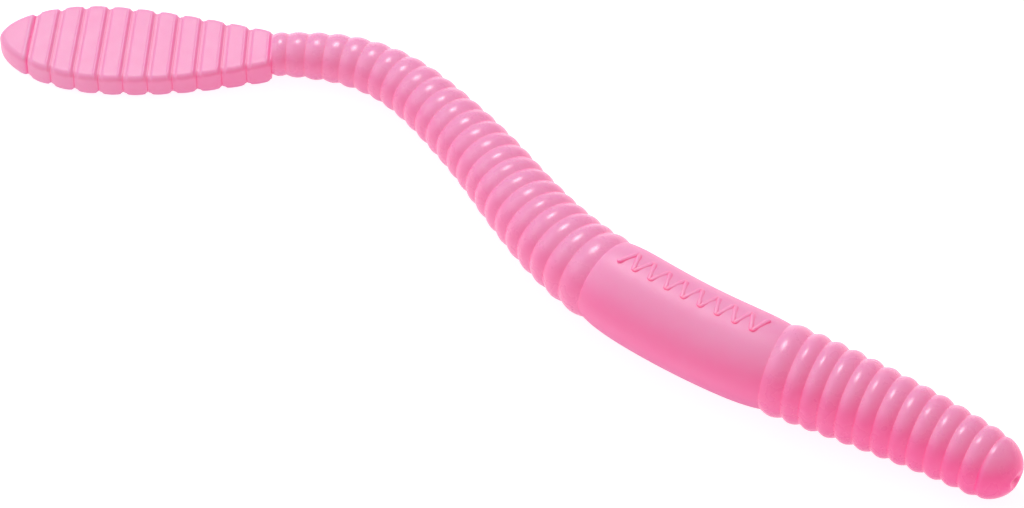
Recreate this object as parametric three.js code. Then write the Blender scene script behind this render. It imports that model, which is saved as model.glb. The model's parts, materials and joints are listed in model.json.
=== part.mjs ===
// A soft plastic fishing worm: nose, ringed head, smooth collar, ringed body and flat paddle tail.
//
// Millimetres, +Z up. The worm lies on the plane z = 0 in one lazy S-curve, its nose towards +X, and the
// origin is the middle of its footprint. The real worm is one casting that flexes at its grooves, so each
// segment between two grooves is a solid of its own, and neighbours pivot on the groove's centre.

import * as THREE from 'three';
import { ConvexGeometry } from 'three/addons/geometries/ConvexGeometry.js';

// Driving dimensions, in millimetres and degrees.

const BODY_PITCH = 2.0; // from one groove of the body to the next
const FIRST_BODY_PITCH = 2.45; // the ring behind the collar is a little wider
const LAST_BODY_PITCH = 1.55; // the ring at the paddle is a little narrower
const HEAD_PITCH = 1.87; // from one groove of the head to the next
const FIRST_HEAD_PITCH = 2.32; // the ring in front of the collar is a little wider
const HEAD_RINGS = 12;
const BODY_RINGS = 24;
const CROWN = 0.36; // how far a full-size ring stands above its grooves
const COLLAR_LENGTH = 19.6;
const COLLAR_RADIUS = 4.64;
const COLLAR_SHOULDER = 1.3; // radius of the collar's rounded ends
const FRONT_GROOVE = 4.28; // groove radius at the collar's front end
const REAR_GROOVE = 4.16; // groove radius at the collar's rear end
const NOSE_GROOVE = 3.12; // groove radius behind the nose
const NECK_GROOVE = 1.93; // groove radius where the body meets the paddle
const NOSE_LENGTH = 2.85;
const NOSE_FACE_RADIUS = 1.2; // blunt front of the nose
const NOSE_CROWN = 0.08; // how far the nose stands above the groove behind it
const NOSE_TAPER = 1.2; // 1 would round the nose like an ellipse; more makes it a little conical
const DIMPLE_RADIUS = 0.6; // hollow in the blunt front, where a hook point starts
const DIMPLE_DEPTH = 0.5;

const PADDLE_RIBS = 10;
const RIB_PITCH = 2.45;
const TIP_LENGTH = 3.1;
const NECK_HALF_WIDTH = 2.25; // paddle, where it leaves the neck
const PADDLE_HALF_WIDTH = 5.0; // paddle, at its widest
const WIDEST_AT = 17; // distance of the widest place from the neck
const NECK_THICKNESS = 3.4;
const PADDLE_THICKNESS = 3.0;
const THINNING_LENGTH = 10; // the paddle thins over this length from the neck
const TIP_TAPER = 0.58; // 0.5 would make the paddle's end an ellipse; more narrows it sooner

const GAP = 0.16; // between neighbours, on the centre line
const FLARE = 4.2; // slope of a ring's end faces, which lets it tip either way
const NECK_FLARE = 6.2; // the same on the thinner rear rings
const REAR_RINGS_FROM = 12; // body grooves past this one use the neck's flare
const RIB_FLARE = 5.2; // slope of a rib's end faces above and below mid-height
const SIDES = 20;

// How the worm lies: arcs of equal turn, from the collar outwards. A positive turn is to the left as one
// walks away from the collar.
const COLLAR_HEADING = -41.1; // at the collar's rear end, looking towards the nose
const COLLAR_TURN = 14.9;
const HEAD_ARCS = [
  { count: 3, turn: -0.2 },
  { count: 4, turn: -0.35 },
  { count: 6, turn: -0.9 },
];
const BODY_ARCS = [
  { count: 2, turn: -4.15 },
  { count: 3, turn: -2.45 },
  { count: 3, turn: -1 },
  { count: 7, turn: 1.4 },
  { count: 2, turn: 5.35 },
  { count: 4, turn: 7.15 },
  { count: 3, turn: 2.85 },
];
const RIB_TURN = -0.4;

const SKIN_COLOUR = 0xf59ac8;
const HEAD_COLOUR = 0xf47ab4;

const { lerp, degToRad } = THREE.MathUtils;

// Sizes along the worm

/** Groove radius of the head, `grooves` pitches away from the collar. */
function headGroove(grooves) {
  return lerp(FRONT_GROOVE, NOSE_GROOVE, (grooves / HEAD_RINGS) ** 1.4);
}

/** Groove radius of the body, `grooves` pitches away from the collar. */
function bodyGroove(grooves) {
  return lerp(REAR_GROOVE, NECK_GROOVE, grooves / BODY_RINGS);
}

/** Crown height of a ring whose grooves have this radius: small rings have lower crowns. */
function crownHeight(groove) {
  return CROWN * Math.sqrt(groove / FRONT_GROOVE);
}

/** Half the paddle's width at a distance from the neck: a sine to the widest place, then nearly an ellipse. */
function paddleHalfWidth(distance) {
  const tipSpan = PADDLE_RIBS * RIB_PITCH + TIP_LENGTH - WIDEST_AT;
  if (distance < WIDEST_AT) {
    const rise = Math.sin((Math.PI / 2) * (distance / WIDEST_AT));
    return lerp(NECK_HALF_WIDTH, PADDLE_HALF_WIDTH, rise);
  }
  const past = (distance - WIDEST_AT) / tipSpan;
  return PADDLE_HALF_WIDTH * Math.max(0, 1 - past ** 2) ** TIP_TAPER;
}

/** Thickness of the paddle at a distance from the neck. */
function paddleThickness(distance) {
  return lerp(NECK_THICKNESS, PADDLE_THICKNESS, Math.min(1, distance / THINNING_LENGTH));
}

// Shapes. Each is made straight, with its near groove at x = 0 and its far groove at x = its length.

/** Turns a profile of (radius, distance) pairs, from the near end's centre to the far end's, round X. */
function turned(profile) {
  const points = profile.map(([radius, distance]) => new THREE.Vector2(radius, distance));
  return new THREE.LatheGeometry(points, SIDES).rotateZ(-Math.PI / 2);
}

/** Distance of an end face from its groove's plane, at a radius. */
function faceSetback(radius, flare) {
  return GAP / 2 + radius * Math.tan(degToRad(flare));
}

/** One ring: flared end faces with a low crown between them. */
function ring(nearGroove, farGroove, length, flare) {
  const crown = crownHeight((nearGroove + farGroove) / 2);
  const start = faceSetback(nearGroove, flare);
  const end = length - faceSetback(farGroove, flare);
  const profile = [[0, GAP / 2]];
  const steps = 4;
  for (let step = 0; step <= steps; step++) {
    const along = (1 - Math.cos((Math.PI * step) / steps)) / 2;
    const rise = crown * Math.sin((Math.PI * step) / steps);
    profile.push([lerp(nearGroove, farGroove, along) + rise, lerp(start, end, along)]);
  }
  profile.push([0, length - GAP / 2]);
  return turned(profile);
}

/** One rounded end of the collar, from its centre to a third of the collar's length. */
function collarEnd(groove) {
  const start = faceSetback(groove, FLARE);
  const rise = COLLAR_RADIUS - groove;
  const profile = [[0, GAP / 2]];
  const steps = 3;
  for (let step = 0; step <= steps; step++) {
    const angle = ((Math.PI / 2) * step) / steps;
    profile.push([groove + rise * Math.sin(angle), start + COLLAR_SHOULDER * (1 - Math.cos(angle))]);
  }
  profile.push([COLLAR_RADIUS, COLLAR_LENGTH / 3]);
  return profile;
}

/** The smooth collar, with rounded shoulders. */
function collar() {
  const front = collarEnd(FRONT_GROOVE).map(([radius, distance]) => [radius, COLLAR_LENGTH - distance]);
  return turned([...collarEnd(REAR_GROOVE), ...front.reverse()]);
}

/** The blunt nose, rounded and slightly conical, with the hook dimple in its front. */
function nose() {
  const crown = NOSE_GROOVE + NOSE_CROWN;
  const start = faceSetback(NOSE_GROOVE, FLARE);
  const shoulder = start + HEAD_PITCH / 5;
  const profile = [[0, GAP / 2], [NOSE_GROOVE, start]];
  const steps = 6;
  for (let step = 0; step <= steps; step++) {
    const angle = ((Math.PI / 2) * step) / steps;
    const radius = lerp(NOSE_FACE_RADIUS, crown, Math.max(0, Math.cos(angle)) ** NOSE_TAPER);
    profile.push([radius, lerp(shoulder, NOSE_LENGTH, Math.sin(angle) ** NOSE_TAPER)]);
  }
  profile.push([DIMPLE_RADIUS, NOSE_LENGTH]);
  profile.push([DIMPLE_RADIUS / 2, NOSE_LENGTH - DIMPLE_DEPTH * 0.85]);
  profile.push([0, NOSE_LENGTH - DIMPLE_DEPTH]);
  return turned(profile);
}

/** Corners of a flat slice of the paddle: level top and bottom, sides that round under. */
function ribSlice(x, halfWidth, thickness) {
  const underside = Math.min(1, halfWidth * 0.4); // how far the side rounds in below
  const edge = Math.min(0.3, halfWidth * 0.2); // how far it rounds in at the top
  const half = [
    [halfWidth - underside, 0],
    [halfWidth - edge, thickness * 0.25],
    [halfWidth, thickness * 0.6],
    [halfWidth - edge, thickness],
  ];
  return half.flatMap(([y, z]) => [new THREE.Vector3(x, y, z), new THREE.Vector3(x, -y, z)]);
}

/** The blunt ridge at mid-height where a rib meets its neighbour. */
function ribRidge(x, halfWidth, thickness) {
  const reach = halfWidth - 0.3;
  return [new THREE.Vector3(x, reach, thickness / 2), new THREE.Vector3(x, -reach, thickness / 2)];
}

/** One flat rib of the paddle, which starts at a distance from the neck. */
function rib(distance) {
  const slices = [];
  for (const [x, ridge] of [[0, GAP / 2], [RIB_PITCH, RIB_PITCH - GAP / 2]]) {
    const thickness = paddleThickness(distance + x);
    const setback = faceSetback(thickness / 2, RIB_FLARE);
    const halfWidth = paddleHalfWidth(distance + x);
    slices.push(...ribSlice(x === 0 ? setback : RIB_PITCH - setback, halfWidth, thickness));
    slices.push(...ribRidge(ridge, halfWidth, thickness));
  }
  const middle = distance + RIB_PITCH / 2;
  slices.push(...ribSlice(RIB_PITCH / 2, paddleHalfWidth(middle) + 0.1, paddleThickness(middle)));
  return new ConvexGeometry(slices);
}

/** The paddle's rounded end. */
function paddleTip() {
  const distance = PADDLE_RIBS * RIB_PITCH;
  const setback = faceSetback(PADDLE_THICKNESS / 2, RIB_FLARE);
  const slices = ribRidge(GAP / 2, paddleHalfWidth(distance), PADDLE_THICKNESS);
  for (const share of [0, 0.35, 0.62, 0.83, 0.95]) {
    const x = lerp(setback, TIP_LENGTH, share);
    slices.push(...ribSlice(x, paddleHalfWidth(distance + x), PADDLE_THICKNESS));
  }
  slices.push(new THREE.Vector3(TIP_LENGTH, 0.5, PADDLE_THICKNESS * 0.6));
  slices.push(new THREE.Vector3(TIP_LENGTH, -0.5, PADDLE_THICKNESS * 0.6));
  return new ConvexGeometry(slices);
}

// Placing

/** Curves a straight shape into an arc that turns by `turn` degrees over its length. */
function bend(geometry, length, turn) {
  if (turn === 0) return geometry;
  const radius = length / degToRad(turn);
  const position = geometry.attributes.position;
  for (let i = 0; i < position.count; i++) {
    const angle = position.getX(i) / radius;
    const reach = radius - position.getY(i);
    position.setXY(i, reach * Math.sin(angle), radius - reach * Math.cos(angle));
  }
  return geometry;
}

/** Adds one segment at a groove and returns the place of its far groove. */
function addSegment(place, { name, geometry, length, turn, height, colour }) {
  const material = new THREE.MeshStandardMaterial({ color: colour, roughness: 0.42, metalness: 0 });
  const mesh = new THREE.Mesh(bend(geometry, length, turn), material);
  mesh.name = name;
  mesh.position.z = height;
  place.add(mesh);

  const next = new THREE.Group();
  const end = new THREE.Vector3(length, 0, 0);
  if (turn !== 0) {
    const angle = degToRad(turn);
    end.set(Math.sin(angle), 1 - Math.cos(angle), 0).multiplyScalar(length / angle);
  }
  next.position.copy(end);
  next.rotation.z = degToRad(turn);
  place.add(next);
  return next;
}

/** Adds segments one after another, each at the far groove of the one before it. */
function addChain(start, segments) {
  segments.reduce((place, segment) => addSegment(place, segment), start);
}

/** Spreads the arcs' turns over single segments. */
function turnsOf(arcs) {
  return arcs.flatMap(({ count, turn }) => Array(count).fill(turn));
}

function numbered(stem, index) {
  return `${stem}_${String(index + 1).padStart(2, '0')}`;
}

/** The rings of the head or the body, in order from the collar. */
function ringSegments({ stem, lengths, arcs, grooveAt, flareAt, colour }) {
  const turns = turnsOf(arcs);
  return lengths.map((length, index) => {
    const [near, far] = [grooveAt(index), grooveAt(index + 1)];
    return {
      name: numbered(stem, index),
      geometry: ring(near, far, length, flareAt(index)),
      length,
      turn: turns[index],
      height: (near + far) / 2 + crownHeight((near + far) / 2),
      colour,
    };
  });
}

function headSegments() {
  const rings = ringSegments({
    stem: 'head_ring',
    lengths: [FIRST_HEAD_PITCH, ...Array(HEAD_RINGS - 1).fill(HEAD_PITCH)],
    arcs: HEAD_ARCS,
    grooveAt: headGroove,
    flareAt: () => FLARE,
    colour: HEAD_COLOUR,
  });
  const front = {
    name: 'nose',
    geometry: nose(),
    length: NOSE_LENGTH,
    turn: turnsOf(HEAD_ARCS)[HEAD_RINGS],
    height: NOSE_GROOVE + crownHeight(NOSE_GROOVE),
    colour: HEAD_COLOUR,
  };
  return [...rings, front];
}

function bodySegments() {
  return ringSegments({
    stem: 'body_ring',
    lengths: [FIRST_BODY_PITCH, ...Array(BODY_RINGS - 2).fill(BODY_PITCH), LAST_BODY_PITCH],
    arcs: BODY_ARCS,
    grooveAt: bodyGroove,
    flareAt: (index) => (index < REAR_RINGS_FROM ? FLARE : NECK_FLARE),
    colour: SKIN_COLOUR,
  });
}

function paddleSegments() {
  const flat = { turn: RIB_TURN, height: 0, colour: SKIN_COLOUR };
  const ribs = Array.from({ length: PADDLE_RIBS }, (_, index) => ({
    ...flat,
    name: numbered('paddle_rib', index),
    geometry: rib(index * RIB_PITCH),
    length: RIB_PITCH,
  }));
  return [...ribs, { ...flat, name: 'paddle_tip', geometry: paddleTip(), length: TIP_LENGTH }];
}

const worm = new THREE.Group();

const collarRear = new THREE.Group();
collarRear.rotation.z = degToRad(COLLAR_HEADING);
worm.add(collarRear);

const collarFront = addSegment(collarRear, {
  name: 'collar',
  geometry: collar(),
  length: COLLAR_LENGTH,
  turn: COLLAR_TURN,
  height: COLLAR_RADIUS,
  colour: SKIN_COLOUR,
});
addChain(collarFront, headSegments());

const bodyStart = new THREE.Group();
bodyStart.rotation.z = Math.PI;
collarRear.add(bodyStart);
addChain(bodyStart, [...bodySegments(), ...paddleSegments()]);

// The origin is the middle of the footprint, on the surface that the worm lies on.
const extent = new THREE.Box3().setFromObject(worm, true);
const middle = extent.getCenter(new THREE.Vector3());
worm.position.set(-middle.x, -middle.y, -extent.min.z);

export default worm;
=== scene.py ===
import json
import math
from collections import namedtuple

import bmesh
import bpy
import numpy as np
from bpy.props import FloatProperty, FloatVectorProperty, IntProperty, PointerProperty
from mathutils import Matrix, Vector

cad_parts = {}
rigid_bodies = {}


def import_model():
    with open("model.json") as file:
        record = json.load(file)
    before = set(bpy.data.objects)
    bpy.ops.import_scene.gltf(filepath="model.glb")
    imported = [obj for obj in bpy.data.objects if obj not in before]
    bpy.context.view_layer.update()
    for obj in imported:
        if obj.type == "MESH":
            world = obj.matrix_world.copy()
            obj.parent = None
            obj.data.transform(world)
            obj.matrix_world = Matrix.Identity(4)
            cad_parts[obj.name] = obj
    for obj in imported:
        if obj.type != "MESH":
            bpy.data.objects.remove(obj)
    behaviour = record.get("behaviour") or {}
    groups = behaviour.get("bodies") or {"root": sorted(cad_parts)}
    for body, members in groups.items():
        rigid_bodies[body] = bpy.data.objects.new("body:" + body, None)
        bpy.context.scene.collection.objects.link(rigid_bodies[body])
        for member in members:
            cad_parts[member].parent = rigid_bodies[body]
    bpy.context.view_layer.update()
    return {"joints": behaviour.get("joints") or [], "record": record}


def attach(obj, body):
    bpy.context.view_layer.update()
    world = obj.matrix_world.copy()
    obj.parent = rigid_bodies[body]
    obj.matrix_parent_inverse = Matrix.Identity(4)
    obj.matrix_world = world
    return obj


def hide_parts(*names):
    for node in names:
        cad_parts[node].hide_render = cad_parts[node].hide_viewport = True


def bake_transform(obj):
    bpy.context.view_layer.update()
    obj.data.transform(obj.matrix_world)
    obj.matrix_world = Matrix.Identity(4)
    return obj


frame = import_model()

bl_info = {
    "name": "Soft Plastic Worm",
    "version": (1, 0, 0),
    "blender": (4, 5, 0),
    "location": "3D Viewport > Sidebar > Worm",
    "description": "Builds the moulded skin of a ringed soft plastic worm around its jointed core",
    "category": "Object",
}

MM = 0.001
JOINT_INTO = {joint["child"]: joint for joint in frame["joints"]}
SLOT = frame["record"]["materials"][0]["slot"]

# How the worm lies, in degrees: arcs of (segments, turn of each), walking away from the collar.
COLLAR_HEADING = -41.1
COLLAR_TURN = 14.9
HEAD_ARCS = [(3, -0.2), (4, -0.35), (6, -0.9)]
BODY_ARCS = [(2, -4.15), (3, -2.45), (3, -1), (7, 1.4), (2, 5.35), (4, 7.15), (3, 2.85)]
RIB_TURN = -0.4
PLACE_TOLERANCE = 0.05 * MM  # how far a skin may start from its groove in the frame
WELD_DISTANCE = 2e-7  # points closer than this, in metres, are one point
LEAST_TURN = 0.05  # degrees that a straight ring's skin turns, since its arc needs a radius

# Three skins listed as running from their own body to their neighbour's, baked in place like the rest.
# The other one is left stiff.
# They were picked by trying some poses. Other mixed poses haven't been tried.
BACKWARD_SKINS = {"head_ring_07", "body_ring_09", "body_ring_23"}
STIFF_SKINS = {"head_ring_05"}

# The paddle's section and grooves, which its ribs and its tip share.
UNDER_EDGE = 1.0 * MM  # radius that its sides round under by
TOP_EDGE = 0.65 * MM  # radius of its upper edge
TIP_TAPER = 0.58  # 0.5 would make its end an ellipse
RIB_GROOVE_DEPTH = 0.18 * MM
RIB_GROOVE_WIDTH = 0.72 * MM
RIB_SCALLOP = 0.3 * MM  # how far the sides draw in at a groove
RIB_WALL_START = 0.15  # where a groove's wall begins, as a share of the groove's width
RIB_WALL_END = 0.47
LIP_HEIGHT = 0.11 * MM
LIP_PLACE = 0.57  # where the lip stands, as a share of the groove's width
LIP_WIDTH = 0.12 * MM
THINNING_LENGTH = 10 * MM  # how far from the neck the paddle goes on thinning
RIB_DISH = 0.2 * MM  # how far a rib's hidden ends are hollowed
RING_DISH = 0.3 * MM
TIP_COLUMNS = 64

# The nose
NOSE_TAPER = 1.3  # 1 would round the nose like an ellipse; more makes it a little conical
NOSE_CREST = 0.5 * MM  # from its groove to its full radius
NOSE_CROWN = 0.06 * MM
NOSE_FACE = 1.15 * MM  # radius of its flat front

# The zigzag on the collar
GRIP_BARS = 17
GRIP_MARGIN = 2.2 * MM  # from the collar's ends to the first and last bar

# How deep the pink goes along the worm, from 0 at the paddle's tip to 1 at the nose. It deepens the
# colour a little everywhere and scales the painted shade on the sides and underside.
TINT_TIP = 0.0
TINT_NECK = 0.30
TINT_COLLAR_REAR = 0.50
TINT_COLLAR_FRONT = 0.68
TINT_NOSE = 1.0

RING_ROUGHNESS = 0.22
SATIN_ROUGHNESS = 0.40  # the collar, its grip and the paddle

# The value that a groove stores as its crown. The lower it is, the deeper the painted shade in that
# groove.
RING_GROOVE_CROWN = 0.3
COLLAR_GROOVE_CROWN = -0.8
RIB_GROOVE_CROWN = -1.0

Segment = namedtuple("Segment", "name place length turn near far")
End = namedtuple("End", "groove crown tint")


# Sizes and colours that a user would change

class WormSizes(bpy.types.PropertyGroup):
    body_pitch: FloatProperty(
        name="Body pitch", description="From one groove of the body to the next",
        default=2.0 * MM, unit="LENGTH")
    first_body_pitch: FloatProperty(
        name="First body pitch", description="Pitch of the ring behind the collar",
        default=2.45 * MM, unit="LENGTH")
    last_body_pitch: FloatProperty(
        name="Last body pitch", description="Pitch of the ring at the paddle",
        default=1.55 * MM, unit="LENGTH")
    head_pitch: FloatProperty(
        name="Head pitch", description="From one groove of the head to the next",
        default=1.87 * MM, unit="LENGTH")
    first_head_pitch: FloatProperty(
        name="First head pitch", description="Pitch of the ring in front of the collar",
        default=2.32 * MM, unit="LENGTH")
    head_crown: FloatProperty(
        name="Head crown", description="How far a large ring of the head stands above its grooves",
        default=0.33 * MM, unit="LENGTH")
    body_crown: FloatProperty(
        name="Body crown", description="How far a large ring of the body stands above its grooves",
        default=0.29 * MM, unit="LENGTH")
    collar_length: FloatProperty(
        name="Collar length", description="From the collar's rear groove to its front groove",
        default=19.6 * MM, unit="LENGTH")
    collar_radius: FloatProperty(
        name="Collar radius", description="Radius of the smooth collar",
        default=4.64 * MM, unit="LENGTH")
    front_groove: FloatProperty(
        name="Front groove", description="Groove radius at the collar's front end",
        default=4.33 * MM, unit="LENGTH")
    rear_groove: FloatProperty(
        name="Rear groove", description="Groove radius at the collar's rear end",
        default=4.21 * MM, unit="LENGTH")
    nose_groove: FloatProperty(
        name="Nose groove", description="Groove radius behind the nose",
        default=3.13 * MM, unit="LENGTH")
    neck_groove: FloatProperty(
        name="Neck groove", description="Groove radius where the body meets the paddle",
        default=1.98 * MM, unit="LENGTH")
    nose_length: FloatProperty(
        name="Nose length", description="From the last groove to the blunt front",
        default=2.85 * MM, unit="LENGTH")
    rib_pitch: FloatProperty(
        name="Rib pitch", description="From one paddle groove to the next",
        default=2.45 * MM, unit="LENGTH")
    tip_length: FloatProperty(
        name="Tip length", description="From the last paddle groove to the end of the paddle",
        default=3.3 * MM, unit="LENGTH")
    neck_half_width: FloatProperty(
        name="Neck half width", description="Half the paddle's width at the neck",
        default=2.35 * MM, unit="LENGTH")
    paddle_half_width: FloatProperty(
        name="Paddle half width", description="Half the paddle's greatest width",
        default=5.06 * MM, unit="LENGTH")
    widest_at: FloatProperty(
        name="Widest at", description="Distance of the paddle's widest place from the neck",
        default=17.0 * MM, unit="LENGTH")
    neck_thickness: FloatProperty(
        name="Neck thickness", description="Thickness of the paddle at the neck",
        default=3.4 * MM, unit="LENGTH")
    paddle_thickness: FloatProperty(
        name="Paddle thickness", description="Thickness of the paddle past its first ribs",
        default=3.03 * MM, unit="LENGTH")
    head_rings: IntProperty(name="Head rings", description="Rings on the head", default=12)
    body_rings: IntProperty(name="Body rings", description="Rings on the body", default=24)
    paddle_ribs: IntProperty(name="Paddle ribs", description="Ribs on the paddle", default=10)
    sides: IntProperty(name="Sides", description="Faces round a ring", default=112)


class WormColours(bpy.types.PropertyGroup):
    # Pale and deep are lit and shaded copies of the plastic, mixed to paint shade and highlight as well
    # as the pink deepening towards the nose.
    pale: FloatVectorProperty(
        name="Pale pink", description="Plastic where it is thin and well lit", subtype="COLOR",
        size=3, default=(0.34, 0.325, 0.505))
    deep: FloatVectorProperty(
        name="Deep pink", description="Plastic where it is thick and shaded", subtype="COLOR",
        size=3, default=(0.26, 0.055, 0.22))
    # Painted glow: these two glows are an emission that stands in for light scattered through the
    # plastic, so the worm glows a little though it is no lamp.
    pale_painted_glow: FloatVectorProperty(
        name="Pale glow", description="Light that the thin plastic lets through", subtype="COLOR",
        size=3, default=(0.505, 0.02, 0.055))
    deep_painted_glow: FloatVectorProperty(
        name="Deep glow", description="Light that the thick plastic lets through", subtype="COLOR",
        size=3, default=(0.71, 0.02, 0.12))


def sizes():
    return bpy.context.scene.worm_sizes


def colours():
    return bpy.context.scene.worm_colours


# Node trees

class Value:
    """An output of a node tree. Arithmetic on it adds Math nodes to its tree."""

    def __init__(self, graph, socket):
        self.graph = graph
        self.socket = socket

    def _math(self, operation, *inputs):
        return self.graph.math(operation, *inputs)

    def __add__(self, other):
        return self._math("ADD", self, other)

    def __radd__(self, other):
        return self._math("ADD", other, self)

    def __sub__(self, other):
        return self._math("SUBTRACT", self, other)

    def __rsub__(self, other):
        return self._math("SUBTRACT", other, self)

    def __mul__(self, other):
        return self._math("MULTIPLY", self, other)

    def __rmul__(self, other):
        return self._math("MULTIPLY", other, self)

    def __truediv__(self, other):
        return self._math("DIVIDE", self, other)

    def __rtruediv__(self, other):
        return self._math("DIVIDE", other, self)

    def __pow__(self, other):
        return self._math("POWER", self, other)

    def __gt__(self, other):
        return self._math("GREATER_THAN", self, other)

    def __lt__(self, other):
        return self._math("LESS_THAN", self, other)


class Graph:
    """Builds one node tree, a node at a time."""

    def __init__(self, tree):
        self.tree = tree

    def node(self, kind, settings=None, values=None):
        """Adds a node, sets its settings, then sets or links its input sockets by name or place."""
        node = self.tree.nodes.new(kind)
        for name, setting in (settings or {}).items():
            setattr(node, name, setting)
        for key, value in (values or {}).items():
            if isinstance(value, Value):
                self.tree.links.new(value.socket, node.inputs[key])
            else:
                node.inputs[key].default_value = value
        return node

    def out(self, node, key=0):
        return Value(self, node.outputs[key])

    def get(self, kind, settings=None, values=None, key=0):
        """Adds a node and returns one of its outputs."""
        return self.out(self.node(kind, settings, values), key)

    def math(self, operation, *inputs, clamp=False):
        settings = {"operation": operation, "use_clamp": clamp}
        return self.get("ShaderNodeMath", settings, dict(enumerate(inputs)))

    def sin(self, angle):
        return self.math("SINE", angle)

    def cos(self, angle):
        return self.math("COSINE", angle)

    def absolute(self, value):
        return self.math("ABSOLUTE", value)

    def share(self, value, low, high):
        """How far value has gone from low to high, from 0 to 1."""
        return self.math("MULTIPLY", (value - low), 1 / (high - low), clamp=True)

    def lerp(self, low, high, factor):
        return low + (high - low) * factor

    def smooth(self, value, low, high):
        step = {"interpolation_type": "SMOOTHSTEP"}
        return self.get("ShaderNodeMapRange", step, {"Value": value, 1: low, 2: high})


class SkinTree(Graph):
    """A Geometry Nodes tree with named inputs, which ends in one mesh with its material."""

    def __init__(self, name, floats, integers=()):
        super().__init__(bpy.data.node_groups.new(name, "GeometryNodeTree"))
        face = self.tree.interface
        face.new_socket(name="Geometry", in_out="OUTPUT", socket_type="NodeSocketGeometry")
        for label in floats:
            face.new_socket(name=label, in_out="INPUT", socket_type="NodeSocketFloat")
        for label in integers:
            face.new_socket(name=label, in_out="INPUT", socket_type="NodeSocketInt")
        face.new_socket(name="Material", in_out="INPUT", socket_type="NodeSocketMaterial")
        self.inputs = self.node("NodeGroupInput")

    def __getitem__(self, label):
        return self.out(self.inputs, label)

    def grid(self, rows, columns):
        """A unit grid, with its row counted from 0 and its column as a share of the way across."""
        counts = {"Vertices X": rows, "Vertices Y": columns + 1}
        grid = self.get("GeometryNodeMeshGrid", None, {"Size X": 1.0, "Size Y": 1.0, **counts})
        place = self.node("ShaderNodeSeparateXYZ", None, {0: self.get("GeometryNodeInputPosition")})
        row = self.math("ROUND", (self.out(place, "X") + 0.5) * (rows - 1))
        return grid, row, self.out(place, "Y") + 0.5

    def combine(self, x, y, z):
        return self.get("ShaderNodeCombineXYZ", None, {"X": x, "Y": y, "Z": z})

    def curved(self, x, y, z, length, turn):
        """A point of a straight segment, carried onto the segment's arc."""
        radius = length / turn
        angle = x / radius
        reach = radius - y
        return self.combine(reach * self.sin(angle), radius - reach * self.cos(angle), z)

    def keep(self, geometry, name, value):
        """Stores a value on the points for the material to read."""
        kind = {"data_type": "FLOAT", "domain": "POINT"}
        return self.get("GeometryNodeStoreNamedAttribute", kind,
                        {"Geometry": geometry, "Name": name, "Value": value})

    def finish(self, geometry):
        """Closes seams and poles, then ends the tree."""
        weld = {"Geometry": geometry, "Distance": WELD_DISTANCE}
        closed = self.get("GeometryNodeMergeByDistance", None, weld)
        smooth = self.get("GeometryNodeSetShadeSmooth", None, {"Geometry": closed})
        real = self.get("GeometryNodeRealizeInstances", None, {"Geometry": smooth})
        dressed = self.get("GeometryNodeSetMaterial", None,
                           {"Geometry": real, "Material": self["Material"]})
        self.node("NodeGroupOutput", None, {"Geometry": dressed})
        return self.tree


def ring_skin_tree():
    """One ring or collar: a bulge between two grooves, closed by dished ends, bent to its arc."""
    tree = SkinTree(
        "Ring skin",
        ["Length", "Turn", "Near Groove", "Far Groove", "Near Crown", "Far Crown", "Flatness",
         "Sharpness", "Wobble", "Near Tint", "Far Tint", "Groove Crown", "Dish", "Seed"],
        ["Steps", "Sides"])
    steps, sides = tree["Steps"], tree["Sides"]
    grid, row, across = tree.grid(steps, sides)
    last = steps - 1
    near_pole, far_pole = row < 0.5, row > last - 0.5
    angle = across * (-2 * math.pi)
    # Rows crowd towards the two grooves, where the surface turns fastest.
    even = tree.math("MULTIPLY", row - 1, 1 / (last - 2), clamp=True)
    along = (1 - tree.cos(even * math.pi)) / 2
    hump = 1 - tree.absolute(along * 2 - 1) ** tree["Flatness"]
    bulge = tree.math("MAXIMUM", hump, 0) ** tree["Sharpness"]
    groove = tree.lerp(tree["Near Groove"], tree["Far Groove"], along)
    crown = tree.lerp(tree["Near Crown"], tree["Far Crown"], along)
    round_place = tree.combine(along, tree.cos(angle), tree.sin(angle))
    noise = tree.get("ShaderNodeTexNoise", {"noise_dimensions": "4D"},
                     {"Vector": round_place, "W": tree["Seed"], "Scale": 1.3, "Detail": 1.0})
    wobble = 1 + (noise - 0.5) * tree["Wobble"]
    radius = (groove + crown * bulge * wobble) * (1 - near_pole - far_pole)
    x = along * tree["Length"] + tree["Dish"] * (near_pole - far_pole)
    y, z = radius * tree.cos(angle), radius * tree.sin(angle)
    moved = tree.get("GeometryNodeSetPosition", None, {
        "Geometry": grid,
        "Position": tree.curved(x, y, groove + crown + z, tree["Length"], tree["Turn"])})
    # The crown falls to Groove Crown in the grooves, where the plastic paints shade.
    crowned = tree.keep(moved, "crown", tree.lerp(tree["Groove Crown"], 1, bulge))
    tinted = tree.keep(crowned, "tint", tree.lerp(tree["Near Tint"], tree["Far Tint"], along))
    return tree.finish(tinted)


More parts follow.
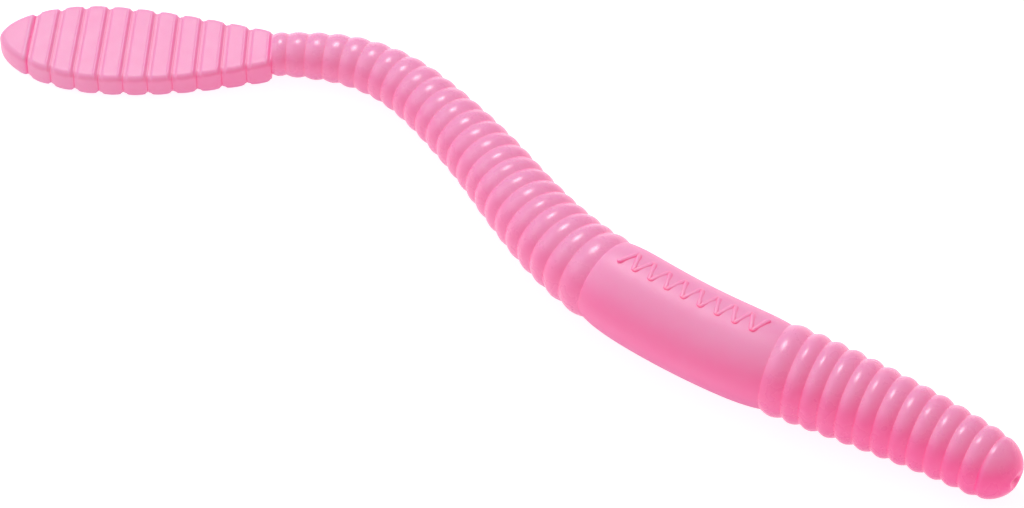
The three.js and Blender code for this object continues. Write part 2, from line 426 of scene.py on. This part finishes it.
def rib_skin_tree():
    """One paddle rib: level top with a fine raised edge, scalloped sides that round under."""
    tree = SkinTree(
        "Rib skin",
        ["Length", "Turn", "From Neck", "Neck Half Width", "Half Width", "Widest At",
         "Tip Span", "Near Thickness", "Far Thickness", "Groove Depth", "Groove Width",
         "Scallop", "Edge Height", "Near Tint", "Far Tint", "Dish"],
        ["Steps", "Sides"])
    steps, sides = tree["Steps"], tree["Sides"]
    grid, row, across = tree.grid(steps, sides)
    last = steps - 1
    near_pole, far_pole = row < 0.5, row > last - 0.5
    body = 1 - near_pole - far_pole
    along = tree.math("MULTIPLY", row - 1, 1 / (last - 2), clamp=True)
    x = along * tree["Length"]

    # Outline: a sine out to the widest place, then an ellipse to the tip.
    distance = tree["From Neck"] + x
    before = tree.math("MULTIPLY", distance, 1 / tree["Widest At"], clamp=True)
    rise = tree.sin(before * (math.pi / 2))
    after = (distance - tree["Widest At"]) / tree["Tip Span"]
    fall = tree.math("MAXIMUM", 1 - after * after, 0) ** TIP_TAPER
    past = distance > tree["Widest At"]
    outline = tree.lerp(tree.lerp(tree["Neck Half Width"], tree["Half Width"], rise),
                        tree["Half Width"] * fall, past)
    hump = along * (1 - along) * 4
    scallop = tree["Scallop"] * (1 - hump ** 0.6)
    width = outline - scallop
    wall = tree.smooth(x, tree["Groove Width"] * RIB_WALL_START, tree["Groove Width"] * RIB_WALL_END)
    ramp = tree.smooth(tree["Length"] - x, tree["Groove Width"] * 0.35, tree["Groove Width"] * 0.75)
    step = wall * ramp
    sunk = tree["Groove Depth"] * (1 - step)
    thickness = tree.lerp(tree["Near Thickness"], tree["Far Thickness"], along) - sunk * 2

    # Round the section: level underside, rounded-under side, fine top edge, level top.
    upward = 1 - tree.absolute(1 - across * 2)
    side = tree.math("SIGN", across - 0.5)
    below, above = UNDER_EDGE, TOP_EDGE
    under = tree.share(upward, 0.0, 0.14)
    turn_under = tree.sin(tree.share(upward, 0.14, 0.38) * (math.pi / 2))
    lift_under = 1 - tree.cos(tree.share(upward, 0.14, 0.38) * (math.pi / 2))
    straight = tree.share(upward, 0.38, 0.5)
    turn_top = 1 - tree.cos(tree.share(upward, 0.5, 0.66) * (math.pi / 2))
    lift_top = tree.sin(tree.share(upward, 0.5, 0.66) * (math.pi / 2))
    top = tree.share(upward, 0.66, 1.0)
    out = ((width - below) * under + below * turn_under - above * turn_top
           - (width - above) * top)
    height = (below * lift_under + (thickness - below - above) * straight + above * lift_top)
    lip_place = (x - tree["Groove Width"] * LIP_PLACE) / LIP_WIDTH
    lip = tree.math("EXPONENT", lip_place * lip_place * -1)
    lip_side = tree.math("EXPONENT", ((width - out) / (0.5 * MM)) ** 2 * -1)
    raised = tree["Edge Height"] * lip * lift_top * (1 - lip_side * 0.8)
    z = sunk + height + raised

    y = out * side * body
    middle = tree["Near Thickness"] * 0.5
    z = tree.lerp(middle, z, body)
    x = x + tree["Dish"] * (near_pole - far_pole)
    moved = tree.get("GeometryNodeSetPosition", None, {
        "Geometry": grid, "Position": tree.curved(x, y, z, tree["Length"], tree["Turn"])})
    # Grooves store a low crown, for painted shade; the raised lip adds up to 1 more, for a painted
    # highlight.
    crowned = tree.keep(moved, "crown", tree.lerp(RIB_GROOVE_CROWN, 1, step)
                        + raised / tree["Edge Height"])
    tinted = tree.keep(crowned, "tint", tree.lerp(tree["Near Tint"], tree["Far Tint"], along))
    return tree.finish(tinted)


def grip_tree():
    """A zigzag of low bars along the collar's upper side, wrapped round it and bent to its arc."""
    tree = SkinTree(
        "Collar grip",
        ["Length", "Turn", "Radius", "Start", "Spacing", "Bar Width", "Bar Reach", "Bar Height",
         "Slant", "Side Angle", "Tint"],
        ["Count"])
    bead = tree.get("GeometryNodeMeshUVSphere", None, {"Segments": 12, "Rings": 8, "Radius": 1.0})
    turned = tree.get("GeometryNodeTransform", None,
                      {"Geometry": bead, "Rotation": (math.pi / 2, 0.0, 0.0)})
    marked = tree.get("GeometryNodeStoreNamedAttribute",
                      {"data_type": "FLOAT_VECTOR", "domain": "POINT"},
                      {"Geometry": turned, "Name": "own place",
                       "Value": tree.get("GeometryNodeInputPosition")})
    line = tree.get("GeometryNodeMeshLine", None, {
        "Count": tree["Count"], "Start Location": tree.combine(tree["Start"], 0.0, 0.0),
        "Offset": tree.combine(tree["Spacing"], 0.0, 0.0)})
    bars = tree.get("GeometryNodeInstanceOnPoints", None, {"Points": line, "Instance": marked})
    real = tree.get("GeometryNodeRealizeInstances", None, {"Geometry": bars})
    own = tree.node("ShaderNodeSeparateXYZ", None, {0: tree.get(
        "GeometryNodeInputNamedAttribute", {"data_type": "FLOAT_VECTOR"}, {"Name": "own place"})})
    placed = tree.node("ShaderNodeSeparateXYZ", None, {0: tree.get("GeometryNodeInputPosition")})
    own_x, own_y, own_z = (tree.out(own, axis) for axis in "XYZ")
    half_width = tree["Bar Width"] / 2
    straight = tree["Bar Reach"] / 2 - half_width
    reach = own_y * half_width + tree.math("SIGN", own_y) * straight
    middle = tree.out(placed, "X") - own_x
    order = tree.math("ROUND", (middle - tree["Start"]) / tree["Spacing"])
    slant = tree["Slant"] * (1 - tree.math("MODULO", order, 2) * 2)
    x = middle + own_x * half_width + reach * slant
    radius = tree["Radius"] + own_z * tree["Bar Height"]
    angle = tree["Side Angle"] + reach / tree["Radius"]
    y, z = radius * tree.sin(angle), tree["Radius"] + radius * tree.cos(angle)
    wrapped = tree.get("GeometryNodeSetPosition", None, {
        "Geometry": real, "Position": tree.curved(x, y, z, tree["Length"], tree["Turn"])})
    # The bars' feet store a lower crown, for painted shade.
    crowned = tree.keep(wrapped, "crown", 0.5 + own_z * 0.5)
    return tree.finish(tree.keep(crowned, "tint", tree["Tint"]))


def plain_mesh(tree, name, material, values):
    """Runs a skin tree with these inputs and returns what it makes as a plain mesh object."""
    holder = bpy.data.objects.new(name, bpy.data.meshes.new(name))
    bpy.context.scene.collection.objects.link(holder)
    modifier = holder.modifiers.new("Skin", "NODES")
    modifier.node_group = tree
    sockets = {item.name: item.identifier for item in tree.interface.items_tree
               if item.in_out == "INPUT"}
    for label, value in {**values, "Material": material}.items():
        modifier[sockets[label]] = value
    bpy.context.view_layer.update()
    made = holder.evaluated_get(bpy.context.evaluated_depsgraph_get())
    mesh = bpy.data.meshes.new_from_object(made)
    holder.modifiers.remove(modifier)
    holder.data = mesh
    return holder


# Materials

def soft_plastic(name, roughness):
    """Soft, slightly see-through pink plastic with a satin skin, whose colour holds painted shade in
    its grooves, sides and underside, painted highlights on the paddle's lips and a painted glow.
    """
    material = bpy.data.materials.new(name)
    material.use_nodes = True
    tree = Graph(material.node_tree)
    shader = material.node_tree.nodes["Principled BSDF"]
    place = tree.get("ShaderNodeTexCoord", None, None, "Object")

    def noise(scale, detail):
        return tree.get("ShaderNodeTexNoise", {"noise_dimensions": "3D"},
                        {"Vector": place, "Scale": scale, "Detail": detail}, "Fac")

    def attribute(label):
        return tree.get("ShaderNodeAttribute", {"attribute_name": label}, None, "Fac")

    cloud, mottle, grain = noise(160, 2.0), noise(700, 3.0), noise(5200, 2.0)
    tint, crown, upward = attribute("tint"), attribute("crown"), attribute("upward")
    # Painted shade: points that faced less far up at rest get a deeper pink, the underside most of all.
    shade = tree.smooth(upward, 1.0, 0.3)
    under = tree.smooth(upward, 0.15, -0.7)
    # Painted shade deepens the pink in grooves, at the collar's ends, at the bars' feet and in the
    # nose's dimple; a painted highlight makes the paddle's raised lips paler.
    groove = tree.smooth(crown, 0.95, -1.0) * 0.45 - tree.smooth(crown, 1.0, 1.9) * 0.30
    # The mix from pale to deep: a pink deepening towards the nose, painted shade on the sides,
    # underside and grooves that grows towards the nose, a painted highlight on the paddle's lips, and
    # random cloudy tone.
    pink_depth_and_painted_light = 0.13 + tint * (0.05 + shade * 0.62) + shade * 0.03 + under * 0.35 + groove
    pink_depth_and_painted_light = pink_depth_and_painted_light + (cloud - 0.5) * 0.16 + (mottle - 0.5) * 0.10
    pink_depth_and_painted_light = tree.math("ADD", pink_depth_and_painted_light, 0.0, clamp=True)
    mix = {"data_type": "RGBA"}
    skin = tree.get("ShaderNodeMix", mix, {
        0: pink_depth_and_painted_light, 6: (*colours().pale, 1), 7: (*colours().deep, 1)}, 2)
    # Painted glow, mixed from pale to deep like the skin, and dimmed towards the underside as painted
    # shade.
    glow = tree.get("ShaderNodeMix", mix, {
        0: pink_depth_and_painted_light, 6: (*colours().pale_painted_glow, 1), 7: (*colours().deep_painted_glow, 1)}, 2)
    material.node_tree.links.new(skin.socket, shader.inputs["Base Color"])
    shaded = tree.get("ShaderNodeMix", mix, {0: under * 0.45, 6: glow, 7: (0, 0, 0, 1)}, 2)
    material.node_tree.links.new(shaded.socket, shader.inputs["Emission Color"])
    rough = roughness + mottle * 0.12 + tree.smooth(crown, 1.0, 0.0) * 0.10
    material.node_tree.links.new(rough.socket, shader.inputs["Roughness"])
    height = mottle * 0.7 + grain * 0.12
    bump = tree.node("ShaderNodeBump", None,
                     {"Height": height, "Strength": 0.22, "Distance": 0.09 * MM})
    material.node_tree.links.new(bump.outputs["Normal"], shader.inputs["Normal"])
    shader.inputs["IOR"].default_value = 1.46
    shader.inputs["Subsurface Weight"].default_value = 0.35
    shader.inputs["Subsurface Radius"].default_value = (1.0, 0.25, 0.5)
    shader.inputs["Subsurface Scale"].default_value = 1.2 * MM
    shader.inputs["Emission Strength"].default_value = 1.0
    return material


def paper_white():
    """Plain pale floor."""
    material = bpy.data.materials.new("Pale floor")
    material.use_nodes = True
    tree = Graph(material.node_tree)
    shader = material.node_tree.nodes["Principled BSDF"]
    place = tree.get("ShaderNodeTexCoord", None, None, "Object")
    fine = tree.get("ShaderNodeTexNoise", None, {"Vector": place, "Scale": 30.0}, "Fac")
    white = tree.get("ShaderNodeMix", {"data_type": "RGBA"},
                     {0: fine, 6: (0.39, 0.39, 0.39, 1), 7: (0.41, 0.41, 0.41, 1)}, 2)
    material.node_tree.links.new(white.socket, shader.inputs["Base Color"])
    shader.inputs["Roughness"].default_value = 0.9
    shader.inputs["Specular IOR Level"].default_value = 0.1
    shader.inputs["Emission Color"].default_value = (1, 1, 1, 1)
    shader.inputs["Emission Strength"].default_value = 0.85
    return material


def skin_material(roughness=RING_ROUGHNESS):
    """The plastic at this roughness, made once."""
    name = f"Soft plastic {round(100 * roughness)}"
    return bpy.data.materials.get(name) or soft_plastic(name, roughness)


# Places along the worm

def arc_step(length, turn):
    """From one groove's place to the next, along an arc."""
    angle = math.radians(turn)
    if angle == 0:
        return Matrix.Translation((length, 0, 0))
    radius = length / angle
    end = Vector((radius * math.sin(angle), radius * (1 - math.cos(angle)), 0))
    return Matrix.Translation(end) @ Matrix.Rotation(angle, 4, "Z")


def collar_rear():
    """Place of the collar's rear groove on the table, looking towards the nose."""
    x, y, _ = JOINT_INTO["body_ring_01"]["pos_m"]
    return Matrix.Translation((x, y, 0)) @ Matrix.Rotation(math.radians(COLLAR_HEADING), 4, "Z")


def collar_front():
    return collar_rear() @ arc_step(sizes().collar_length, COLLAR_TURN)


def body_start():
    return collar_rear() @ Matrix.Rotation(math.pi, 4, "Z")


def turns_of(arcs):
    return [turn for count, turn in arcs for _ in range(count)]


def crown_height(full, groove):
    """Small rings have slightly lower crowns than the full height."""
    return full * math.sqrt(groove / sizes().front_groove)


def head_end(grooves):
    """The head's groove, this many grooves away from the collar."""
    share = grooves / sizes().head_rings
    groove = sizes().front_groove + (sizes().nose_groove - sizes().front_groove) * share ** 1.4
    tint = TINT_COLLAR_FRONT + (TINT_NOSE - TINT_COLLAR_FRONT) * share
    return End(groove, crown_height(sizes().head_crown, groove), tint)


def body_end(grooves):
    """The body's groove, this many grooves away from the collar."""
    share = grooves / sizes().body_rings
    groove = sizes().rear_groove + (sizes().neck_groove - sizes().rear_groove) * share
    tint = TINT_COLLAR_REAR + (TINT_NECK - TINT_COLLAR_REAR) * share
    return End(groove, crown_height(sizes().body_crown, groove), tint)


def ring_segments(stem, lengths, arcs, start, end_at):
    """The rings of the head or the body, in order from the collar."""
    place, segments = start, []
    for index, (length, turn) in enumerate(zip(lengths, turns_of(arcs))):
        name = f"{stem}_{index + 1:02d}"
        segments.append(Segment(name, place, length, turn, end_at(index), end_at(index + 1)))
        place = place @ arc_step(length, turn)
    return segments, place


def head_segments():
    lengths = [sizes().first_head_pitch] + [sizes().head_pitch] * (sizes().head_rings - 1)
    return ring_segments("head_ring", lengths, HEAD_ARCS, collar_front(), head_end)


def body_segments():
    lengths = [sizes().first_body_pitch] + [sizes().body_pitch] * (sizes().body_rings - 2)
    lengths += [sizes().last_body_pitch]
    return ring_segments("body_ring", lengths, BODY_ARCS, body_start(), body_end)


def paddle_places():
    """Names, places and lengths of the paddle's ribs and tip, from the neck."""
    _, place = body_segments()
    names = [f"paddle_rib_{index + 1:02d}" for index in range(sizes().paddle_ribs)]
    found = []
    for name in names:
        found.append((name, place, sizes().rib_pitch))
        place = place @ arc_step(sizes().rib_pitch, RIB_TURN)
    return found + [("paddle_tip", place, sizes().tip_length)]


# Joining skins to the frame

def place_skin(piece, place):
    """Moves a skin into place, and notes on its points how far each faces up at rest, from which the
    plastic paints shade.
    """
    mesh = piece.data
    mesh.transform(place)
    mesh.update()
    normals = np.zeros(3 * len(mesh.vertices), np.float32)
    mesh.vertex_normals.foreach_get("vector", normals)
    upward = mesh.attributes.new("upward", "FLOAT", "POINT")
    upward.data.foreach_set("value", normals[2::3].copy())


def settle(piece, place, node):
    """Places a skin and lets it stand for its node."""
    place_skin(piece, place)
    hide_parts(node)


def flex(piece, node, place, length, turn):
    """Checks that a skin starts at its groove in the frame, then bakes its place into its mesh.

    A skin of STIFF_SKINS rides on its own body instead.
    """
    joint = JOINT_INTO[node]
    height = joint["pos_m"][2]
    near = place.translation
    if (near.xy - Vector(joint["pos_m"][:2])).length > PLACE_TOLERANCE:
        raise RuntimeError(f"{node} isn't at its groove in the frame")
    far = (place @ arc_step(length, turn)).translation
    lift = Vector((0, 0, height))
    if node in STIFF_SKINS:
        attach(piece, node)
    elif node in BACKWARD_SKINS:
        joint["parent"]
        far + lift
        near + lift
        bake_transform(piece)
    else:
        joint["parent"]
        near + lift
        far + lift
        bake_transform(piece)


def dress_ring(tree, segment, flatness=2.0, sharpness=1.2, wobble=0.25, steps=26,
               roughness=RING_ROUGHNESS, groove_crown=RING_GROOVE_CROWN):
    """Makes the skin of one ring or of the collar."""
    near, far = segment.near, segment.far
    turn = segment.turn if segment.turn else LEAST_TURN
    piece = plain_mesh(tree, f"{segment.name}_skin", skin_material(roughness), {
        "Length": segment.length, "Turn": math.radians(turn),
        "Near Groove": near.groove, "Far Groove": far.groove,
        "Near Crown": near.crown, "Far Crown": far.crown,
        "Flatness": flatness, "Sharpness": sharpness, "Wobble": wobble,
        "Near Tint": near.tint, "Far Tint": far.tint, "Groove Crown": groove_crown,
        "Dish": min(RING_DISH, segment.length / 4),
        "Seed": float(sum(map(ord, segment.name)) % 97),
        "Steps": steps, "Sides": sizes().sides})
    settle(piece, segment.place, segment.name)
    return piece


def dress_rings(segments):
    tree = ring_skin_tree()
    for segment in segments:
        piece = dress_ring(tree, segment)
        flex(piece, segment.name, segment.place, segment.length, segment.turn)


def turned_mesh(profile, sides, tints):
    """A closed skin of revolution round X. Profile rows are (x, radius, crown)."""
    angles = np.linspace(0, 2 * math.pi, sides, endpoint=False)
    points, crowns, tint = [], [], []
    for (x, radius, crown), shade in zip(profile, tints):
        around = angles if radius > 0 else angles[:1]
        points += [(x, radius * math.cos(a), radius * math.sin(a)) for a in around]
        crowns += [crown] * len(around)
        tint += [shade] * len(around)
    starts = np.cumsum([0] + [sides if radius > 0 else 1 for _, radius, _ in profile])
    faces = []
    for row in range(len(profile) - 1):
        here, there = starts[row], starts[row + 1]
        for side in range(sides):
            after = (side + 1) % sides
            if profile[row][1] == 0:
                faces.append((here, there + after, there + side))
            elif profile[row + 1][1] == 0:
                faces.append((here + side, here + after, there))
            else:
                faces.append((here + side, here + after, there + after, there + side))
    return points, faces, crowns, tint


def mesh_piece(name, points, faces, crowns, tints, roughness=RING_ROUGHNESS):
    """A smooth piece from points and faces, with the values that the plastic reads."""
    mesh = bpy.data.meshes.new(name)
    mesh.from_pydata([tuple(map(float, point)) for point in points], [],
                     [tuple(map(int, face)) for face in faces])
    for label, values in (("crown", crowns), ("tint", tints)):
        layer = mesh.attributes.new(label, "FLOAT", "POINT")
        layer.data.foreach_set("value", np.array(values, np.float32))
    mesh.polygons.foreach_set("use_smooth", [True] * len(mesh.polygons))
    mesh.materials.append(skin_material(roughness))
    piece = bpy.data.objects.new(name, mesh)
    bpy.context.scene.collection.objects.link(piece)
    return piece


# Operators

class WORM_OT_head(bpy.types.Operator):
    """Make the skins of the head's rings"""
    bl_idname = "worm.head"
    bl_label = "Head rings"

    def execute(self, context):
        segments, _ = head_segments()
        dress_rings(segments)
        return {"FINISHED"}


class WORM_OT_body(bpy.types.Operator):
    """Make the skins of the body's rings"""
    bl_idname = "worm.body"
    bl_label = "Body rings"

    def execute(self, context):
        segments, _ = body_segments()
        dress_rings(segments)
        return {"FINISHED"}


class WORM_OT_collar(bpy.types.Operator):
    """Make the smooth collar"""
    bl_idname = "worm.collar"
    bl_label = "Collar"

    def execute(self, context):
        rear, front, full = sizes().rear_groove, sizes().front_groove, sizes().collar_radius
        near = End(rear, full - rear, TINT_COLLAR_REAR)
        far = End(front, full - front, TINT_COLLAR_FRONT)
        segment = Segment("collar", collar_rear(), sizes().collar_length, COLLAR_TURN, near, far)
        piece = dress_ring(ring_skin_tree(), segment, flatness=6.0, sharpness=1.0,
                           wobble=0.02, steps=120, roughness=SATIN_ROUGHNESS,
                           groove_crown=COLLAR_GROOVE_CROWN)
        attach(piece, "collar")
        return {"FINISHED"}


def hook_dimple(across, upward):
    """Depth of the slit in the nose's front, and height of the swelling round it.

    Both are in millimetres, as are the two distances from the middle of the front.
    """
    across, upward = across + 0.35, upward - 0.1
    dip = 0.6 * math.exp(-(across / 0.62) ** 2 - ((upward + across * 0.5) / 0.3) ** 2)
    ring = math.hypot(across / 1.15, upward / 0.85) - 1
    return dip, 0.12 * math.exp(-(ring / 0.35) ** 2)


class WORM_OT_grip(bpy.types.Operator):
    """Make the row of raised bars on the collar"""
    bl_idname = "worm.grip"
    bl_label = "Collar grip"

    def execute(self, context):
        spacing = (sizes().collar_length - 2 * GRIP_MARGIN) / (GRIP_BARS - 1)
        piece = plain_mesh(grip_tree(), "collar_grip", skin_material(SATIN_ROUGHNESS), {
            "Length": sizes().collar_length, "Turn": math.radians(COLLAR_TURN),
            "Radius": sizes().collar_radius, "Start": GRIP_MARGIN, "Spacing": spacing,
            "Bar Width": 0.55 * MM, "Bar Reach": 2.4 * MM, "Bar Height": 0.17 * MM,
            "Slant": 0.38, "Side Angle": math.radians(9), "Count": GRIP_BARS,
            "Tint": (TINT_COLLAR_REAR + TINT_COLLAR_FRONT) / 2})
        place_skin(piece, collar_rear())
        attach(piece, "collar")
        return {"FINISHED"}


class WORM_OT_nose(bpy.types.Operator):
    """Make the blunt nose with its hook dimple"""
    bl_idname = "worm.nose"
    bl_label = "Nose"

    def execute(self, context):
        _, place = head_segments()
        end = head_end(sizes().head_rings)
        crest, length, face = NOSE_CREST, sizes().nose_length, NOSE_FACE
        full = end.groove + NOSE_CROWN
        profile = [(RING_DISH, 0, 0), (0, end.groove, 0)]
        for share in np.linspace(0.08, 1, 12):
            rise = share * share * (3 - 2 * share)
            profile.append((crest * share, end.groove + (full - end.groove) * rise, rise))
        for share in np.linspace(0.05, 1, 30):
            angle = share * math.pi / 2
            profile.append((crest + (length - crest) * math.sin(angle) ** NOSE_TAPER,
                            face + (full - face) * max(0.0, math.cos(angle)) ** NOSE_TAPER, 1))
        profile += [(length, face * (1 - share), 1) for share in np.linspace(0.06, 1, 20)]
        tints = [end.tint] * len(profile)
        points, faces, crowns, tints = turned_mesh(profile, sizes().sides, tints)
        for index, (x, y, z) in enumerate(points):
            if x > length / 2:
                dip, rim = hook_dimple(y / MM, z / MM)
                points[index] = (x + (rim - dip) * MM, y, z)
                # A lower crown in the dimple, for painted shade there.
                crowns[index] = 1 - dip
        piece = mesh_piece("nose_skin", points, faces, crowns, tints)
        lift = Matrix.Translation((0, 0, end.groove + end.crown))
        settle(piece, place @ lift, "nose")
        flex(piece, "nose", place, length, 0)
        return {"FINISHED"}


class WORM_OT_paddle(bpy.types.Operator):
    """Make the skins of the paddle's ribs"""
    bl_idname = "worm.paddle"
    bl_label = "Paddle ribs"

    def execute(self, context):
        tree = rib_skin_tree()
        ribs = paddle_places()[:-1]
        for index, (name, place, length) in enumerate(ribs):
            start = index * length
            piece = plain_mesh(tree, f"{name}_skin", skin_material(SATIN_ROUGHNESS), {
                "Length": length, "Turn": math.radians(RIB_TURN), "From Neck": start,
                "Neck Half Width": sizes().neck_half_width,
                "Half Width": sizes().paddle_half_width,
                "Widest At": sizes().widest_at,
                "Tip Span": len(ribs) * length + sizes().tip_length - sizes().widest_at,
                "Near Thickness": paddle_thickness(start),
                "Far Thickness": paddle_thickness(start + length),
                "Groove Depth": RIB_GROOVE_DEPTH, "Groove Width": RIB_GROOVE_WIDTH,
                "Scallop": RIB_SCALLOP, "Edge Height": LIP_HEIGHT, "Near Tint": paddle_tint(start),
                "Far Tint": paddle_tint(start + length), "Dish": RIB_DISH,
                "Steps": 60, "Sides": 120})
            settle(piece, place, name)
            flex(piece, name, place, length, RIB_TURN)
        return {"FINISHED"}


def paddle_thickness(distance):
    """Thickness of the paddle at a distance from the neck."""
    thinning = min(1.0, distance / THINNING_LENGTH)
    return sizes().neck_thickness + (sizes().paddle_thickness - sizes().neck_thickness) * thinning


def paddle_tint(distance):
    span = sizes().paddle_ribs * sizes().rib_pitch + sizes().tip_length
    return TINT_NECK + (TINT_TIP - TINT_NECK) * distance / span


class WORM_OT_tip(bpy.types.Operator):
    """Make the paddle's rounded end"""
    bl_idname = "worm.tip"
    bl_label = "Paddle tip"

    def execute(self, context):
        name, place, length = paddle_places()[-1]
        start = sizes().paddle_ribs * sizes().rib_pitch
        span = start + length - sizes().widest_at
        thickness = sizes().paddle_thickness
        middle, offset = thickness / 2, start - sizes().widest_at
        rows = tip_rows(thickness)
        points, crowns = [(RIB_DISH, 0, middle)], [0]
        for inset, level, share in rows:
            reach = math.acos(offset / (span - inset))
            half_width = share * (sizes().paddle_half_width - inset)
            for angle in np.linspace(reach, -reach, TIP_COLUMNS):
                x = share * ((span - inset) * math.cos(angle) - offset)
                y = half_width * abs(math.sin(angle)) ** (2 * TIP_TAPER)
                step = wall_step(x)
                sunk = RIB_GROOVE_DEPTH * (1 - step)
                scallop = RIB_SCALLOP * max(0.0, 1 - x / (0.9 * MM)) ** 2
                z = middle + (level - middle) * (1 - sunk / middle)
                lip = math.exp(-(((x - RIB_GROOVE_WIDTH * LIP_PLACE) / LIP_WIDTH) ** 2))
                lip *= level > 0.9 * thickness
                side = math.copysign(max(0.0, y - scallop), angle)
                points.append((x, side, z + LIP_HEIGHT * lip))
                # As on the ribs: a low crown in the groove for painted shade, and the lip raised past 1
                # for a painted highlight.
                crowns.append(RIB_GROOVE_CROWN + (1 - RIB_GROOVE_CROWN) * step + lip)
        faces = []
        for row in range(len(rows) - 1):
            for column in range(TIP_COLUMNS - 1):
                first = 1 + row * TIP_COLUMNS + column
                next_row = first + TIP_COLUMNS
                faces.append((first, first + 1, next_row + 1, next_row))
        # The closing face at the groove: a fan from the dished middle to both edge columns.
        for row in range(len(rows) - 1):
            left, right = 1 + row * TIP_COLUMNS, TIP_COLUMNS + row * TIP_COLUMNS
            faces.append((0, left, left + TIP_COLUMNS))
            faces.append((0, right + TIP_COLUMNS, right))
        tints = [paddle_tint(start)] * len(points)
        piece = mesh_piece("paddle_tip_skin", points, faces, crowns, tints, SATIN_ROUGHNESS)
        weld_and_face_out(piece)
        settle(piece, place, name)
        flex(piece, name, place, length, RIB_TURN)
        return {"FINISHED"}


def wall_step(x):
    """How far the wall of the tip's groove has risen at x, from 0 to 1."""
    share = (x / RIB_GROOVE_WIDTH - RIB_WALL_START) / (RIB_WALL_END - RIB_WALL_START)
    share = min(1.0, max(0.0, share))
    return share * share * (3 - 2 * share)


def tip_rows(thickness):
    """The tip's section from the middle of its underside to the middle of its top."""
    below, above = UNDER_EDGE, TOP_EDGE
    rows = [(below, 0.0, share) for share in np.linspace(0, 1, 8)[:-1]]
    for share in np.linspace(0, 1, 12):
        angle = share * math.pi / 2
        rows.append((below * (1 - math.sin(angle)), below * (1 - math.cos(angle)), 1))
    for share in np.linspace(0, 1, 6)[1:]:
        rows.append((0.0, below + (thickness - below - above) * share, 1))
    for share in np.linspace(0, 1, 9)[1:]:
        angle = share * math.pi / 2
        rows.append((above * (1 - math.cos(angle)), thickness - above * (1 - math.sin(angle)), 1))
    rows += [(above, thickness, share) for share in np.linspace(1, 0, 14)[1:]]
    return rows


def weld_and_face_out(piece):
    """Merges doubled points and turns every face outwards."""
    shape = bmesh.new()
    shape.from_mesh(piece.data)
    bmesh.ops.remove_doubles(shape, verts=shape.verts, dist=WELD_DISTANCE)
    bmesh.ops.dissolve_degenerate(shape, edges=shape.edges, dist=1e-8)
    bmesh.ops.recalc_face_normals(shape, faces=shape.faces)
    shape.to_mesh(piece.data)
    shape.free()


class WORM_OT_stage(bpy.types.Operator):
    """Make the camera, the pale floor and the studio light"""
    bl_idname = "worm.stage"
    bl_label = "Stage"

    def execute(self, context):
        add_camera(elevation=51.0, distance=0.5443, aim=Vector((0.00153, 0.00074, 0)), lens=193.4)
        add_floor()
        add_softbox("Overhead softbox", (-0.09, 0.32, 0.52), 0.20, 2.3)
        add_softbox("Left softbox", (-0.60, 0.10, 0.40), 0.60, 1.35)
        world = bpy.data.worlds.new("Studio")
        world.use_nodes = True
        world.node_tree.nodes["Background"].inputs["Color"].default_value = (1, 1, 1, 1)
        world.node_tree.nodes["Background"].inputs["Strength"].default_value = 0.41
        bpy.context.scene.world = world
        bpy.context.scene.view_settings.view_transform = "Standard"
        return {"FINISHED"}


def add_camera(elevation, distance, aim, lens):
    """A long lens that looks along +Y and down, at this elevation above the table."""
    camera = bpy.data.objects.new("Camera", bpy.data.cameras.new("Camera"))
    bpy.context.scene.collection.objects.link(camera)
    angle = math.radians(elevation)
    back = Vector((0, -math.cos(angle), math.sin(angle)))
    camera.location = aim + back * distance
    camera.rotation_euler = (-back).to_track_quat("-Z", "Y").to_euler()
    camera.data.lens = lens
    camera.data.clip_start = 0.01
    camera.data.clip_end = 10
    bpy.context.scene.camera = camera


def add_floor():
    mesh = bpy.data.meshes.new("Floor")
    reach = 3.0
    mesh.from_pydata([(-reach, -reach, 0), (reach, -reach, 0), (reach, reach, 0), (-reach, reach, 0)],
                     [], [(0, 1, 2, 3)])
    mesh.materials.append(paper_white())
    floor = bpy.data.objects.new("Floor", mesh)
    bpy.context.scene.collection.objects.link(floor)


def add_softbox(name, place, size, power):
    light = bpy.data.lights.new(name, "AREA")
    light.shape = "SQUARE"
    light.size = size
    light.energy = power
    box = bpy.data.objects.new(name, light)
    bpy.context.scene.collection.objects.link(box)
    box.location = place
    box.rotation_euler = (-Vector(place)).to_track_quat("-Z", "Y").to_euler()


class WORM_PT_panel(bpy.types.Panel):
    """Lists the worm's pieces"""
    bl_idname = "WORM_PT_panel"
    bl_label = "Soft Plastic Worm"
    bl_space_type = "VIEW_3D"
    bl_region_type = "UI"
    bl_category = "Worm"

    def draw(self, context):
        for operator in OPERATORS:
            self.layout.operator(operator.bl_idname)


OPERATORS = (WORM_OT_stage, WORM_OT_collar, WORM_OT_grip, WORM_OT_head, WORM_OT_nose, WORM_OT_body,
             WORM_OT_paddle, WORM_OT_tip)
CLASSES = (WormSizes, WormColours, *OPERATORS, WORM_PT_panel)


def register():
    for cls in CLASSES:
        bpy.utils.register_class(cls)
    bpy.types.Scene.worm_sizes = PointerProperty(type=WormSizes)
    bpy.types.Scene.worm_colours = PointerProperty(type=WormColours)


def unregister():
    del bpy.types.Scene.worm_colours
    del bpy.types.Scene.worm_sizes
    for cls in reversed(CLASSES):
        bpy.utils.unregister_class(cls)


def main():
    register()
    for operator in OPERATORS:
        group, name = operator.bl_idname.split(".")
        getattr(getattr(bpy.ops, group), name)()


if __name__ == "__main__":
    main()
